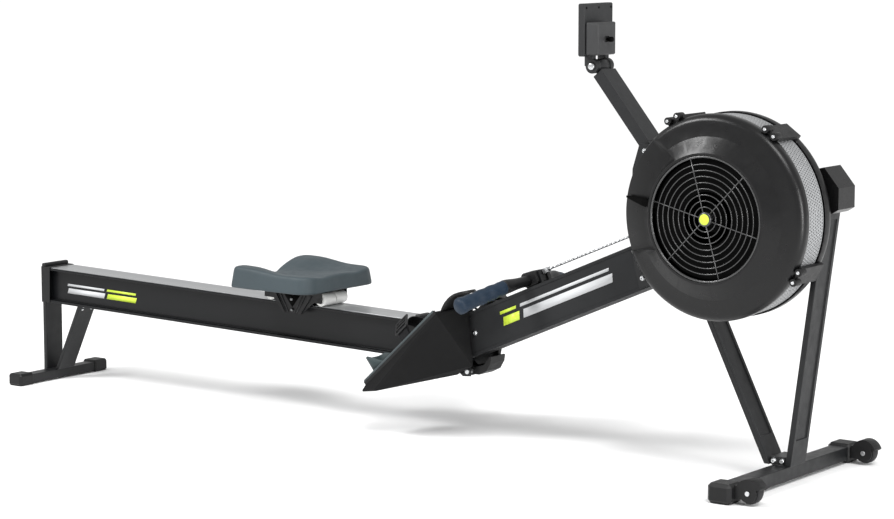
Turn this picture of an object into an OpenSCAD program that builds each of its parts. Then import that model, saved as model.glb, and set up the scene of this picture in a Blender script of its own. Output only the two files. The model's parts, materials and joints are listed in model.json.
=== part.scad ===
// Air rowing machine, in millimetres.
// +X runs from the rear foot to the flywheel, +Y to the rower's left when
// facing the flywheel, +Z up. The origin is on the floor, under the middle.

/* [Rail] */
// Height of the rail's running face above the floor, at its rear end
rail_rear_z = 312; // [300:1:320]
// Place of the rail's rear end along X
rail_rear_x = -1205; // [-1215:1:-1195]
// Length of the rail
rail_len = 1390; // [1350:1:1392]
// Fall of the rail towards the flywheel, in degrees
rail_slope = 1.43; // [1.2:0.01:1.6]
// Width of the rail's flanges
rail_w = 90; // [86:1:94]
// Height of the rail, with its track
rail_h = 96; // [90:1:100]
// Thickness of the stainless track on top of the rail
track_t = 2; // [1.5:0.1:3]

/* [Rear leg] */
// Width of the rear leg's post and brace
rear_leg_w = 63; // [55:1:70]
// Length of the rear foot, end to end
rear_foot_len = 341; // [320:1:360]
// Length of each rear foot cap
rear_cap_len = 53; // [45:1:60]

/* [Seat] */
// Place of the seat's middle along the rail
seat_s = 893; // [700:1:900]
// Length of the seat pad, front to back
seat_len = 244; // [230:1:255]
// Width of the seat pad
seat_w = 310; // [290:1:330]
// Height of the seat pad's underside above the track
seat_under = 40; // [38:1:44]
// Radius of the upper rollers
roller_r = 16; // [15:0.5:16.5]
// Distance between the two upper roller axles
roller_gap = 164; // [150:1:170]

/* [Beam] */
// Slope of the main beam, in degrees
beam_slope = 23.07; // [22:0.01:24]
// Width of the main beam
beam_w = 84; // [80:1:86]
// Depth of the main beam
beam_h = 104; // [100:1:108]

/* [Front leg] */
// Width of the front leg's struts
strut_w = 70; // [64:1:74]
// Thickness of the front leg's struts
strut_t = 14; // [10:1:16]
// Length of the front foot, end to end
front_foot_len = 608; // [580:1:620]

/* [Fan] */
// Radius of the fan housing
fan_r = 230; // [226:1:236]
// Radius of the air inlet grille
grille_r = 141; // [132:1:144]
// Number of concentric rings in the grille
grille_rings = 9; // [6:1:12]
// Number of flywheel blades
blade_count = 24; // [16:2:30]
// Radius of the flywheel
flywheel_r = 186; // [170:1:190]
// Radius of the flywheel axle
axle_r = 8; // [7:0.5:9]

/* [Handle] */
// Length of the handle, end to end
handle_len = 500; // [440:1:520]
// Radius of the handle's grips
grip_r = 18; // [15:0.5:19]

/* [Footrests] */
// Slope of the footboards, in degrees
board_angle = 42.5; // [41:0.1:45]
// Length of a footboard
board_len = 290; // [270:1:310]

/* [Monitor] */
// Width of the monitor
monitor_w = 124; // [110:1:160]
// Height of the monitor
monitor_h = 122; // [110:1:130]
// Distance between the monitor arm's two pivots
arm_len = 243; // [230:1:250]

/* [Hidden] */
$fn = 48;
eps = 0.02;          // gap between pieces that are fixed together round a pin
run = 0.05;          // radial running clearance
gap = 0.3;           // gap between moving neighbours

// ---- general shapes ----
module bar_y(r, len) rotate([90, 0, 0]) cylinder(r = r, h = len, center = true);
module both_sides() { children(); mirror([0, 1, 0]) children(); }
module extrude_x(len) rotate([90, 0, 90]) linear_extrude(height = len) children();
module extrude_y(half) rotate([90, 0, 0]) linear_extrude(height = 2 * half, center = true) children();
module tube(r_out, r_in, h) difference() {
  cylinder(r = r_out, h = h);
  translate([0, 0, -1]) cylinder(r = r_in, h = h + 2);
}
module chamfer_box(size, c) {
  hull() {
    cube([size[0] - 2 * c, size[1] - 2 * c, size[2]], center = true);
    cube([size[0] - 2 * c, size[1], size[2] - 2 * c], center = true);
    cube([size[0], size[1] - 2 * c, size[2] - 2 * c], center = true);
  }
}
function turn(a, p) = [p[0] * cos(a) - p[1] * sin(a), p[0] * sin(a) + p[1] * cos(a)];
function arc(c, r, a0, a1, n) = [for (i = [0 : n]) let (a = a0 + (a1 - a0) * i / n)
  [c[0] + r * cos(a), c[1] + r * sin(a)]];

// ---- rail frame: x along the rail, z = 0 on the running face ----
track_half = rail_w / 2 - 2;
flange_t = 5.5;
web_half = 30;
module on_rail() translate([rail_rear_x, 0, rail_rear_z]) rotate([0, rail_slope, 0]) children();

module rail_beam() color("#303032") on_rail() extrude_x(rail_len) difference() {
  union() {
    translate([-rail_w / 2, -track_t - flange_t]) square([rail_w, flange_t]);
    translate([-web_half, -rail_h + 1]) square([2 * web_half, rail_h - track_t - 2]);
    translate([-rail_w / 2, -rail_h]) square([rail_w, 7]);
  }
  translate([-web_half + 4, -rail_h + 6]) square([2 * web_half - 8, rail_h - track_t - 12]);
}
module rail_track() color("#c9cbcc") on_rail() translate([0, 0, -track_t])
  extrude_x(rail_len) translate([-track_half, 0]) square([2 * track_half, track_t]);

cap_lip = 9;         // height of its stop above the track
module rail_end_cap() color("#262628") difference() {
  on_rail() union() {
    translate([11, 0, -rail_h / 2]) cube([34, rail_w + 4, rail_h + 2], center = true);
    translate([3, 0, cap_lip / 2]) chamfer_box([14, rail_w + 4, cap_lip + 2], 3);
  }
  on_rail() translate([0, -rail_w / 2 - 0.2, -rail_h - 0.2]) cube([40, rail_w + 0.4, rail_h + 0.4]);
  translate([rear_x + post_t - 20, -100, 0]) cube([20, 200, 400]);
}
stop_s = 1265;       // place of the front stop along the rail
module rail_front_stop() color("#1c1c1e") on_rail() translate([stop_s, 0, 5]) chamfer_box([16, 50, 10], 2);

// ---- rear leg ----
foot_beam_z = 28;    // top of the rear foot beam
rear_x = rail_rear_x - 16;
post_t = 12;
module rear_post() color("#3f4042") difference() {
  translate([rear_x, -rear_leg_w / 2, 6]) cube([post_t, rear_leg_w, 290]);
  translate([rear_x - 1, -rear_leg_w / 2 + 8, 16]) cube([6, rear_leg_w - 16, 270]);
}
brace_top = [-1079, 212.6];
brace_foot = [-1166.7, foot_beam_z];
brace_t = 11;
module rear_brace() color("#3f4042") extrude_y(rear_leg_w / 2) polygon([brace_foot, brace_top,
  brace_top - [brace_t, -0.3], brace_foot - [brace_t, 0]]);
module rear_foot_beam() color("#3a3b3d") difference() {
  translate([-1209, -120, 4]) cube([34, 240, foot_beam_z - 4]);
  translate([-1206, -121, 7]) cube([28, 242, foot_beam_z - 10]);
}
module rear_foot_caps() color("#1d1d1f") both_sides() difference() {
  translate([-1196, -rear_foot_len / 2 + rear_cap_len / 2, 16.5]) chamfer_box([50, rear_cap_len, 33], 6);
  translate([-1209.2, -rear_foot_len / 2 + 12, 3.8]) cube([34.4, rear_cap_len, foot_beam_z - 3.6]);
}

// ---- main beam frame: x up the beam, z = 0 on its centre line ----
beam_ref = [497, 371.5];
beam_low = 328;
beam_up = 285;
module on_beam() translate([beam_ref[0], 0, beam_ref[1]]) rotate([0, -beam_slope, 0]) children();
function beam_pt(p) = beam_ref + turn(beam_slope, p);
beam_joint_x = 192;  // where the beam meets the rail's front end
beam_web = beam_w / 2 - 1.5;
pulley_x = -273;     // the cord's pulley, along the beam
cord_axle = beam_pt([pulley_x, 0]);

module beam_section(w, h) {
  square([w - 3, h - 4], center = true);
  for (s = [-1, 1]) translate([0, s * (h / 2 - 3.5)]) square([w, 7], center = true);
}
module main_beam() color("#2f3032") difference() {
  on_beam() translate([-beam_low, 0, 0]) extrude_x(beam_low + beam_up) difference() {
    beam_section(beam_w, beam_h);
    square([beam_w - 9, beam_h - 9], center = true);
  }
  translate([beam_joint_x - 200, -100, 0]) cube([200, 200, 400]);
  translate([cord_axle[0], 0, cord_axle[1]]) bar_y(5 + eps, 200);
  on_beam() translate([guide_local[0] - guide_r - 2, -7, beam_h / 2 - 9]) cube([2 * guide_r + 4, 14, 20]);
}

// ---- coupler under the footrests, and its lock ----
lock_pivot = [228, 169];
coupler_half = 47;
module frame_coupler() color("#262628") {
  both_sides() translate([0, coupler_half, 0]) rotate([90, 0, 0]) linear_extrude(height = 2) difference() {
    polygon([[120, 190], [120, 262], [180, 300], [236, 300], [238, 158], [214, 156], [180, 182]]);
    translate(lock_pivot) circle(r = 6);
  }
  translate([120, -coupler_half + 2, 178]) cube([62, 2 * coupler_half - 4, 3]);
}
module frame_lock() color("#1f2022") difference() {
  union() {
    extrude_y(30) polygon([[222, 161], [250, 161], [272, 172], [284, 192], [286, 208], [280, 208],
      [272, 196], [262, 186], [236, 178], [222, 178]]);
    translate([lock_pivot[0], 0, lock_pivot[1]]) bar_y(11, 60);
  }
  translate([lock_pivot[0], 0, lock_pivot[1]]) bar_y(6 + gap, 80);
}

// ---- bolts: one size of button head, with its shank ----
head_r = 7;
module bolt_y(x, z, y, head) translate([x, y, z]) rotate([90, 0, 0]) difference() {
  cylinder(r1 = head_r, r2 = head_r - 2.5, h = 4.5);
  translate([0, 0, 2]) cylinder(r = 2.6, h = 3, $fn = 6);
}
module frame_bolts() color("#d0d2d4") {
  translate([cord_axle[0], 0, cord_axle[1]]) bar_y(5, 2 * beam_web + 1);
  both_sides() {
    bolt_y(cord_axle[0], cord_axle[1], -beam_web);
    bolt_y(724, 438, -plate_out);
    for (x = [foot_x - 18, foot_x + 4]) bolt_y(x, front_beam_top + 10, -base_half);
  }
  translate([lock_pivot[0], 0, lock_pivot[1]]) bar_y(6 - eps, 2 * coupler_half + 6);
  for (z = [250, 280]) translate([rear_x + 5, 0, z]) rotate([0, -90, 0]) cylinder(r1 = 6, r2 = 4, h = 4);
}

// ---- front leg ----
foot_x = 1084;
front_beam_top = 40;
base_half = 30;
strut_foot = [1111.4, front_beam_top];
strut_lean = 0.1325;
strut_top = 700;
function front_face(z) = [strut_foot[0] + (z - strut_foot[1]) * strut_lean, z];
module strut_profile(grow) polygon([strut_foot + [grow, 0], front_face(strut_top) + [grow, 0],
  front_face(strut_top) - [strut_t + grow, 0], strut_foot - [strut_t + grow, 0]]);
module front_strut() color("#47484a") difference() {
  extrude_y(strut_w / 2) strut_profile(0);
  extrude_y(strut_w / 2 - 10) polygon([front_face(100) + [5, 0], front_face(600) + [5, 0],
    front_face(600) - [3, 0], front_face(100) - [3, 0]]);
}
back_foot = [1057.5, front_beam_top + 1];
back_lean = -0.495;
back_top = 430;
function back_front(z) = [back_foot[0] + (z - back_foot[1]) * back_lean, z];
module rear_strut() color("#47484a") difference() {
  extrude_y(strut_w / 2) polygon([back_foot, back_front(back_top), back_front(back_top) - [strut_t, 0],
    back_foot - [strut_t, 0]]);
  extrude_y(strut_w / 2 - 10) polygon([back_front(100) + [5, 0], back_front(390) + [5, 0],
    back_front(390) - [3, 0], back_front(100) - [3, 0]]);
}
beam_half_y = front_foot_len / 2 - 42;
module front_foot_beam() color("#434446") {
  difference() {
    translate([foot_x - 22, -beam_half_y, 8]) cube([44, 2 * beam_half_y, front_beam_top - 8]);
    translate([foot_x - 18, -beam_half_y - 1, 12]) cube([36, 2 * beam_half_y + 2, front_beam_top - 16]);
  }
  translate([foot_x - 25.5, -base_half, front_beam_top]) cube([38, 2 * base_half, 20]);
}
module front_foot_caps() color("#1d1d1f") both_sides() difference() {
  translate([1082, -front_foot_len / 2 + 29, 23]) chamfer_box([60, 58, 46], 8);
  translate([foot_x - 22.2, -front_foot_len / 2 + 12, 7.8]) cube([44.4, 60, front_beam_top - 7.6]);
}
wheel_c = [1145, 29];
wheel_r = 25;
wheel_y = 268;       // middle of each wheel
wheel_w = 22;
fork_t = 5;
shroud_r = 31;
fork_y = wheel_w / 2 + 1.5;
hub_disc_r = 21;     // the fork's round cheek over the wheel's hub
module shroud_side() {
  intersection() {
    translate(wheel_c) circle(r = shroud_r);
    translate(wheel_c + [-60, 9]) square([120, 80]);
  }
  translate(wheel_c) circle(r = hub_disc_r);
  translate([1112, 14]) square([wheel_c[0] - 1112, 30]);
}
module wheel_shrouds() color("#171719") both_sides() difference() {
  union() {
    for (y = [-wheel_y - fork_y, -wheel_y + fork_y + fork_t]) translate([0, y, 0]) rotate([90, 0, 0])
      linear_extrude(height = fork_t) difference() {
        shroud_side();
        translate(wheel_c) circle(r = 4);
      }
    translate([wheel_c[0], -wheel_y + fork_y, wheel_c[1]]) rotate([90, 0, 0])
      linear_extrude(height = 2 * fork_y)
      intersection() {
        difference() {
          circle(r = shroud_r);
          circle(r = shroud_r - 4);
        }
        translate([-40, 8]) square([80, 40]);
      }
    translate([1112, -wheel_y - fork_y, 14]) cube([3, 2 * fork_y, 30]);
  }
}
axle_head_r = 5.5;   // flat heads at the axle's two ends
module wheel_axles() color("#d8dadc") both_sides() {
  translate([wheel_c[0], -wheel_y, wheel_c[1]]) bar_y(4 - eps, 2 * (fork_y + fork_t) + 1);
  for (s = [-1, 1]) translate([wheel_c[0], -wheel_y + s * (fork_y + fork_t + 1.5), wheel_c[1]])
    bar_y(axle_head_r, 3);
}
module wheel(side) color("#2b2b2d") translate([wheel_c[0], side * wheel_y, wheel_c[1]]) rotate([90, 0, 0])
  translate([0, 0, -wheel_w / 2]) rotate_extrude() polygon([[4 + run, 0], [16, 0], [16, 3], [19, 3], [20, 0],
    [wheel_r - 3, 0], [wheel_r, 3], [wheel_r, wheel_w - 3], [wheel_r - 3, wheel_w], [20, wheel_w],
    [19, wheel_w - 3], [16, wheel_w - 3], [16, wheel_w], [4 + run, wheel_w]]);
module wheel_right() wheel(-1);
module wheel_left() wheel(1);

module leg_top_box() color("#39393b") difference() {
  extrude_y(38) polygon([[1204, 618], [1221, 628], [1221, 676], [1184, 720], [1167, 716]]);
  extrude_y(strut_w / 2 + 0.5) polygon([[1203, 624], [1217, 632], [1217, 674], [1183, 715], [1171, 712]]);
  extrude_y(strut_w / 2 + 0.5) strut_profile(0.3);
}

// ---- fan: local x and y in the housing's plane, z towards the rower's right ----
fan_c = [984, 607];
housing_out = 74;    // the housing hangs this far out, against the near side plate
module about_fan() translate([fan_c[0], 0, fan_c[1]]) rotate([90, 0, 0]) children();
module in_housing() about_fan() translate([0, 0, housing_out]) children();
plate_in = 42;       // inner face of each side plate
plate_out = 46;
near_h = 112;        // height of the near cover's flat face
grille_h = 137;      // height of the grille's face
band_low = 8.5;
band_high = 86;
wall = 3;
bevel_r = 181;
slot_low = 119;      // height of the damper lever's slot
slot_from = 135;     // ends of that slot, as angles round the fan
slot_to = 206;

rim_outer = concat([[fan_r, band_high - 4]], arc([fan_r - 20, near_h - 20], 20, 0, 78, 8),
  [[fan_r - 24, near_h], [bevel_r, near_h + 4], [grille_r + 5, grille_h], [grille_r, grille_h]]);
rim_cavity = [[fan_r - 9, 50], [fan_r - 6, near_h - 26], [fan_r - 26, near_h - wall],
  [bevel_r - 2, near_h - wall],
  [grille_r + 4, grille_h - wall]];
trough_floor = [[fan_r + 3, near_h - 28], [fan_r - 4, near_h - 13], [bevel_r - 2, near_h - 10],
  [bevel_r - 19, near_h - 8],
  [grille_r + 6, grille_h - 4]];
trough_cavity = [[fan_r - 10, 50], [fan_r - 9, near_h - 27], [fan_r - 16, near_h - 16],
  [bevel_r - 22, near_h - 11],
  [grille_r + 2, grille_h - 6]];
function polar(r, a) = [r * cos(a), r * sin(a)];
// the trough's end walls lean inwards: each is a line through two points on the flat face
trough_reach = 4;    // how many times over each line is drawn out past the rim
function wall_line(p, q, t) = p + t * (q - p);
module trough_plan(grow) {
  upper = [polar(174, 126.3 - grow), polar(216, 131.4 - grow)];
  lower = [polar(179, 206.9 + grow), polar(222, 203.1 + grow)];
  linear_extrude(height = 160) polygon([
    wall_line(upper[0], upper[1], -1), wall_line(upper[0], upper[1], trough_reach),
    wall_line(lower[0], lower[1], trough_reach), wall_line(lower[0], lower[1], -1)]);
}
module full_turn() rotate_extrude($fn = 96) children();
module near_cover() color("#2d2d2f") in_housing() difference() {
  full_turn() polygon(concat([[grille_r, band_high - 4]], rim_outer));
  intersection() {
    full_turn() polygon(concat(trough_floor, [[grille_r + 6, 150], [250, 150], [250, near_h - 28]]));
    trough_plan(0);
  }
  full_turn() polygon(concat(trough_cavity, [[120, grille_h - 6], [120, 50]]));
  difference() {
    full_turn() polygon(concat(rim_cavity, [[121, grille_h - wall], [121, 49]]));
    trough_plan(1.2);
  }
  rotate([0, 0, slot_from]) rotate_extrude(angle = slot_to - slot_from, $fn = 96)
    translate([grille_r - 2, slot_low]) square([40, 9.5]);
}
far_low = -28;       // height of the far cover's back
far_round = 20;      // outer radius of its rounded rim
far_round_c = [fan_r - far_round, far_low + far_round];
axle_hole_r = 32;
module far_cover() color("#2a2a2c") in_housing() full_turn() polygon(concat(
  [[axle_hole_r, far_low], [axle_hole_r, far_low + wall], [fan_r - far_round, far_low + wall]],
  arc(far_round_c, far_round - wall, -85, 0, 8),
  [[fan_r - wall, band_low], [fan_r, band_low], [fan_r, far_low + far_round]],
  arc(far_round_c, far_round, -5, -90, 8)));
module mesh_band() color("#a9abad") in_housing() full_turn()
  translate([fan_r - 6.5, band_low + 3.2]) square([1.8, band_high - band_low - 7.6]);

clamp_angles = [54.5, -29, 116.5];
module at_clamps() in_housing() for (a = clamp_angles) rotate([0, 0, a]) children();
clamp_low = -8;
module cover_clamps() color("#1b1b1d") at_clamps() {
  translate([fan_r + gap, -22, clamp_low]) cube([9, 44, 90 - clamp_low]);
  for (y = [-13, 13]) translate([fan_r + 9, y, 78]) cylinder(r = 8.5, h = 24);
}
module clamp_bolts() color("#8c8e90") at_clamps() for (y = [-13, 13])
  translate([fan_r + 9, y, 102]) cylinder(r1 = 4.5, r2 = 3.2, h = 3.5);
module grille() color("#1a1a1c") in_housing() translate([0, 0, grille_h - 6]) {
  tube(grille_r - eps, grille_r - 6, 5);
  pitch = (grille_r - 20) / grille_rings;
  for (i = [1 : grille_rings - 1]) tube(14 + i * pitch + 1.4, 14 + i * pitch - 1.4, 3);
  for (i = [0 : 5]) rotate([0, 0, 47 + 60 * i]) translate([12, -1, 0]) cube([grille_r - 16, 2, 4]);
  cylinder(r = 15, h = 7);
}
ring_h = 121;
lever_a = 171;       // the damper lever's place round the fan
module damper_ring() color("#242426") in_housing() {
  translate([0, 0, ring_h]) tube(133, 60, 3);
  rotate([0, 0, lever_a]) translate([128, -7, ring_h]) cube([38, 14, 3]);
  rotate([0, 0, lever_a]) intersection() {
    extrude_y(20) polygon([[160, ring_h], [160, ring_h + 3], [172, ring_h + 3], [223, near_h - 4],
      [223, near_h - 8], [176, near_h - 6], [165, ring_h - 8]]);
    linear_extrude(height = 160) polygon([[158, -9], [224, -2], [224, 2], [158, 9]]);
  }
}
bearing_r = 17;
module axle_bearings() color("#b9bbbd") about_fan() for (z = [plate_in - 3, -plate_out - 3])
  translate([0, 0, z]) tube(bearing_r - eps, axle_r + run, 10);
axle_low = -58;      // the axle's far end
axle_top = 120;      // its near end, inside the housing
module flywheel_axle() color("#c3c5c7") about_fan() translate([0, 0, axle_low])
  cylinder(r = axle_r, h = housing_out + axle_top - axle_low);
rotor_low = 52;      // the flywheel's inner face
rotor_h = 38;
module flywheel() color("#56585a") in_housing() {
  translate([0, 0, rotor_low]) tube(32, axle_r + eps, 46);
  translate([0, 0, rotor_low]) tube(flywheel_r, 30, 4);
  translate([0, 0, rotor_low]) tube(flywheel_r, flywheel_r - 4, rotor_h);
  for (i = [0 : blade_count - 1]) rotate([0, 0, 360 * i / blade_count])
    translate([70, 20, rotor_low + 2]) cube([flywheel_r - 76, 2, rotor_h - 4]);
}
// chain line: up from the handle, over the guide roller, round the sprocket, back into the beam
chain_w = 5;
chain_t = 6;
sprocket_r = 14;
teeth = 14;
wrap_r = sprocket_r + chain_t / 2 + gap;
guide_r = 14;
guide_wrap = guide_r + chain_t / 2 + gap;
pin_pt = [428, 429];
chain_dir = 22.7;
guide_c = pin_pt + turn(chain_dir, [284, -guide_wrap]);
to_fan = fan_c - guide_c;
top_dir = atan2(to_fan[1], to_fan[0]) + asin((wrap_r - guide_wrap) / norm(to_fan));
cord_r = 4;
pulley_r = 18;
cord_line = pulley_r + cord_r + gap;
cord_end = beam_pt([110, cord_line]);
back = cord_end - fan_c;
back_dir = atan2(back[1], back[0]) - atan2(wrap_r, sqrt(back * back - wrap_r * wrap_r));
chain_route = concat(arc(guide_c, guide_wrap + chain_t / 2, chain_dir + 90, top_dir + 90, 2),
  arc(fan_c, wrap_r + chain_t / 2, top_dir + 90, back_dir + 90, 20),
  [cord_end + turn(back_dir, [0, chain_t / 2]), cord_end - turn(back_dir, [0, chain_t / 2])],
  arc(fan_c, wrap_r - chain_t / 2, back_dir + 90, top_dir + 90, 20),
  arc(guide_c, guide_wrap - chain_t / 2, top_dir + 90, chain_dir + 90, 2));
module chain_inner() color("#6b6d6f") extrude_y(chain_w / 2) polygon(chain_route);
module chain_span() color("#7b7d7f") translate([pin_pt[0], 0, pin_pt[1]]) rotate([0, -chain_dir, 0])
  translate([7, -chain_w / 2, -chain_t / 2]) cube([284 - 7 - 0.5, chain_w, chain_t]);
module sprocket() color("#8f9193") about_fan() translate([0, 0, -6]) difference() {
  union() {
    translate([0, 0, 3.5]) cylinder(r = sprocket_r, h = 5);
    cylinder(r = 11.5, h = 24);
  }
  for (i = [1 : teeth]) rotate([0, 0, i * 360 / teeth]) translate([sprocket_r + 0.6, 0, 3])
    cylinder(r = 1.8, h = 6);
  translate([0, 0, -1]) cylinder(r = axle_r + run, h = 30);
}
module chain_roller() color("#d9d9d6") translate([guide_c[0], 0, guide_c[1]]) rotate([90, 0, 0])
  translate([0, 0, -5]) tube(guide_r, 3 + run, 10);
guide_local = turn(-beam_slope, guide_c - beam_ref);
module chain_guide() color("#dcdcd8") {
  on_beam() both_sides() translate([guide_local[0] - 15, 6, beam_h / 2]) difference() {
    cube([30, 4, 38]);
    translate([15, 2, guide_local[1] - beam_h / 2]) bar_y(3 - eps, 10);
  }
  on_beam() translate([guide_local[0] - 15, -10, beam_h / 2 + 38]) cube([30, 20, 5]);
  translate([guide_c[0], 0, guide_c[1]]) bar_y(3 - 2 * eps, 20);
}
module cord_pulley() color("#3c3c3e") on_beam() translate([pulley_x, 0, 0]) rotate([90, 0, 0])
  translate([0, 0, -7]) difference() {
    cylinder(r = pulley_r + cord_r, h = 14);
    translate([0, 0, 7]) rotate_extrude() translate([cord_line, 0]) circle(r = cord_r + gap, $fn = 24);
    translate([0, 0, -1]) cylinder(r = 5 + run, h = 16);
  }
module shock_cord() color("#33383c") {
  on_beam() translate([pulley_x, 0, cord_line]) rotate([0, 90, 0]) cylinder(r = cord_r, h = 110 - pulley_x);
  on_beam() translate([pulley_x, 0, -cord_line]) rotate([0, 90, 0]) cylinder(r = cord_r, h = 200 - pulley_x);
  on_beam() translate([pulley_x, 0, 0]) rotate([90, -90, 0]) rotate_extrude(angle = 180)
    translate([cord_line, 0]) circle(r = cord_r, $fn = 24);
}

// ---- handle ----
hand_c = [397.7, 405.6]; // middle of the handle
grip_in = 104;       // where each grip begins
core_half = 31;
arm_slope = [-0.194, -0.102];   // run along x and z for each millimetre outwards, core to grip
grip_slope = [-0.266, -0.25];   // the same along the grip
function stretch(slope) = sqrt(1 + slope * slope);
module along(slope, from, out) translate([from[0], -out, from[1]]) rotate([0, 0, atan2(-1, slope[0])])
  rotate([0, 90 - atan2(slope[1], sqrt(1 + slope[0] * slope[0])), 0]) children();
grip_start = hand_c + grip_in * arm_slope;
grip_len = (handle_len / 2 - grip_in - 4) * stretch(grip_slope);
arm_start = hand_c + (core_half - 4) * arm_slope;
arm_run = (grip_in - core_half + 4) * stretch(arm_slope);
module handle_bar() color("#1b1c1e") {
  translate([hand_c[0], 0, hand_c[1]]) rotate([0, -chain_dir, 0]) chamfer_box([34, 2 * core_half, 28], 6);
  both_sides() {
    along(arm_slope, arm_start, core_half - 4) cylinder(r1 = 14, r2 = grip_r - 0.5, h = arm_run - 4);
    along(grip_slope, grip_start, grip_in) {
      translate([0, 0, -6]) cylinder(r = 11, h = grip_len - 10);
      translate([0, 0, -6]) cylinder(r = grip_r - 0.5, h = 6 - eps);
    }
  }
}
module handle_grips() color("#2b4258") both_sides() along(grip_slope, grip_start, grip_in) difference() {
  union() {
    cylinder(r = grip_r, h = grip_len - 30);
    translate([0, 0, grip_len - 30]) cylinder(r1 = grip_r, r2 = grip_r + 2, h = 22);
    translate([0, 0, grip_len - 8]) cylinder(r1 = grip_r + 2, r2 = grip_r - 6, h = 8);
  }
  translate([0, 0, -1]) cylinder(r = 11 + eps, h = grip_len - 14);
}
module chain_clevis() color("#b4b6b8") translate([pin_pt[0], 0, pin_pt[1]]) rotate([0, -chain_dir, 0]) {
  both_sides() translate([-19.5, -8, -6]) cube([25.5, 4, 12]);
  translate([-19.5, -8, -6]) cube([11, 16, 12]);
  bar_y(2.4, 16);
}
hook_x = -60.5;      // place of the handle hook along the beam
module handle_hook() color("#202123") on_beam() {
  translate([hook_x - 40, -20, beam_h / 2]) cube([54, 40, 4]);
  both_sides() translate([hook_x, -20, beam_h / 2]) cube([8, 9, 34]);
}

// ---- footboards: local x up the board, z out of its face ----
board_heel = [-4, 127];
board_in = 54;       // inner edge of each board
board_out = 152;     // outer edge
cup_out = 147;
cup_in = 59;
module on_board() translate([board_heel[0], 0, board_heel[1]]) rotate([0, -board_angle, 0]) children();
module corner(x, y, z, t) translate([x, y, z]) cube([4, 5 + t, 4]);
module shell_hull(t) hull() {
  on_board() translate([t, -board_out + t, -8])
    cube([board_len - 2 * t, board_out - board_in - 2 * t, 8 - t]);
  corner(34 + t, -166 + t, 118 + t, 0);
  corner(-12 + t, -154 + t, 110 + t, 0);
  corner(200, -board_in - 5, 160 + t, 2 * t);
  corner(246 - t, -board_in - 5, 187 + t, 2 * t);
  corner(232 - t, -board_in - 5, 328 - t, 2 * t);
}
module foot_shells() color("#29292b") both_sides() difference() {
  shell_hull(0);
  shell_hull(3);
}
toe_r = 80;          // bend of the toe piece, up and forwards over the board's end
toe_c = [board_len + 38, 13 - toe_r];
toe_half = 34;
toe_y = -96;
module toe_outline() {
  translate([-12, toe_y - toe_half]) square([68, 2 * toe_half]);
  translate([56, toe_y]) circle(r = toe_half);
}
module footboards() color("#303234") on_board() both_sides() {
  difference() {
    translate([0, -board_out, eps]) cube([board_len, board_out - board_in, 5]);
    for (i = [0 : 4]) translate([140 + 22 * i, -105, -1]) cylinder(r = 4, h = 8);
  }
  translate([0, -board_out, 4]) cube([board_len, 3, 5]);
  intersection() {
    translate([board_len - 1, 0, 0]) linear_extrude(height = 60, center = true) toe_outline();
    extrude_y(200) difference() {
      translate(toe_c) circle(r = toe_r);
      translate(toe_c) circle(r = toe_r - 6);
      translate([board_len - 40, -20]) square([54, 20 + eps]);
      translate(toe_c - [2 * toe_r, 2 * toe_r]) square([4 * toe_r, toe_r + 40]);
    }
  }
}
cup_u = 24;          // the heel cup's lowest place on the board
module heel_cup(side) color("#4a5354") on_board() scale([1, side, 1]) translate([cup_u, 0, 5 + gap]) {
  translate([8, cup_in, 0]) cube([92, cup_out - cup_in, 4]);
  translate([0, cup_in, 0]) cube([10, cup_out - cup_in, 50]);
  for (y = [cup_in + 4, cup_out]) translate([4, y, 0]) rotate([90, 0, 0]) linear_extrude(height = 4)
    polygon([[0, 0], [64, 0], [0, 40]]);
}
module heel_cup_right() heel_cup(-1);
module heel_cup_left() heel_cup(1);
strap_u = 161;
strap_w = 34;
strap_r = 43;
strap_y = -101;
strap_t = 3;
strap_foot = 7;      // height of the arch's middle above the board
module foot_straps() color("#161618") on_board() both_sides() translate([strap_u, strap_y, 5 + eps])
  extrude_x(strap_w) translate([0, strap_foot]) difference() {
    union() {
      circle(r = strap_r + strap_t);
      translate([-strap_r - strap_t, -strap_foot]) square([2 * (strap_r + strap_t), strap_foot]);
    }
    circle(r = strap_r);
    translate([-strap_r, -strap_foot - 1]) square([2 * strap_r, strap_foot + 1.1]);
    translate([-2 * strap_r, -strap_foot - 2 * strap_r]) square([4 * strap_r, 2 * strap_r]);
  }
module strap_buckles() color("#111113") on_board() both_sides()
  translate([strap_u - 3, strap_y, 12]) rotate([45, 0, 0]) translate([0, -19, strap_r + 3.2]) difference() {
    cube([strap_w + 6, 38, 5]);
    translate([6, 6, -1]) cube([strap_w - 6, 9, 7]);
    translate([6, 22, -1]) cube([strap_w - 6, 9, 7]);
  }

// ---- monitor and its arm ----
arm_base = [727, 732];
arm_angle = 129.35;
tilt_c = arm_base + arm_len * [cos(arm_angle), sin(arm_angle)];
base_barrel = 14;
knuckle_r = 17;
arm_w = 60;
arm_t = 28;
arm_end = 20;        // where its wide part stops, short of the upper pivot
module monitor_arm() color("#3b3c3e") difference() {
  union() {
    translate([arm_base[0], 0, arm_base[1]]) rotate([0, -arm_angle, 0]) {
      translate([18, -arm_w / 2, -arm_t / 2]) cube([arm_len - 18 - arm_end, arm_w, arm_t]);
      translate([0, -arm_w / 2, -arm_t / 2 + 1]) cube([20, arm_w, arm_t - 2]);
      translate([arm_len - 30, -19, -8]) cube([30, 38, 16]);
      bar_y(base_barrel, 2 * plate_in - 2 * gap);
    }
    translate([tilt_c[0], 0, tilt_c[1]]) bar_y(knuckle_r - 1, 39);
  }
  translate([arm_base[0], 0, arm_base[1]]) rotate([0, -arm_angle, 0])
    translate([26, -arm_w / 2 + 3, -arm_t / 2 + 3]) cube([arm_len - 26 - 32, arm_w - 6, arm_t - 6]);
  translate([arm_base[0], 0, arm_base[1]]) bar_y(5 + eps, 100);
  translate([tilt_c[0], 0, tilt_c[1]]) bar_y(5 + eps, 100);
}
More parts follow.
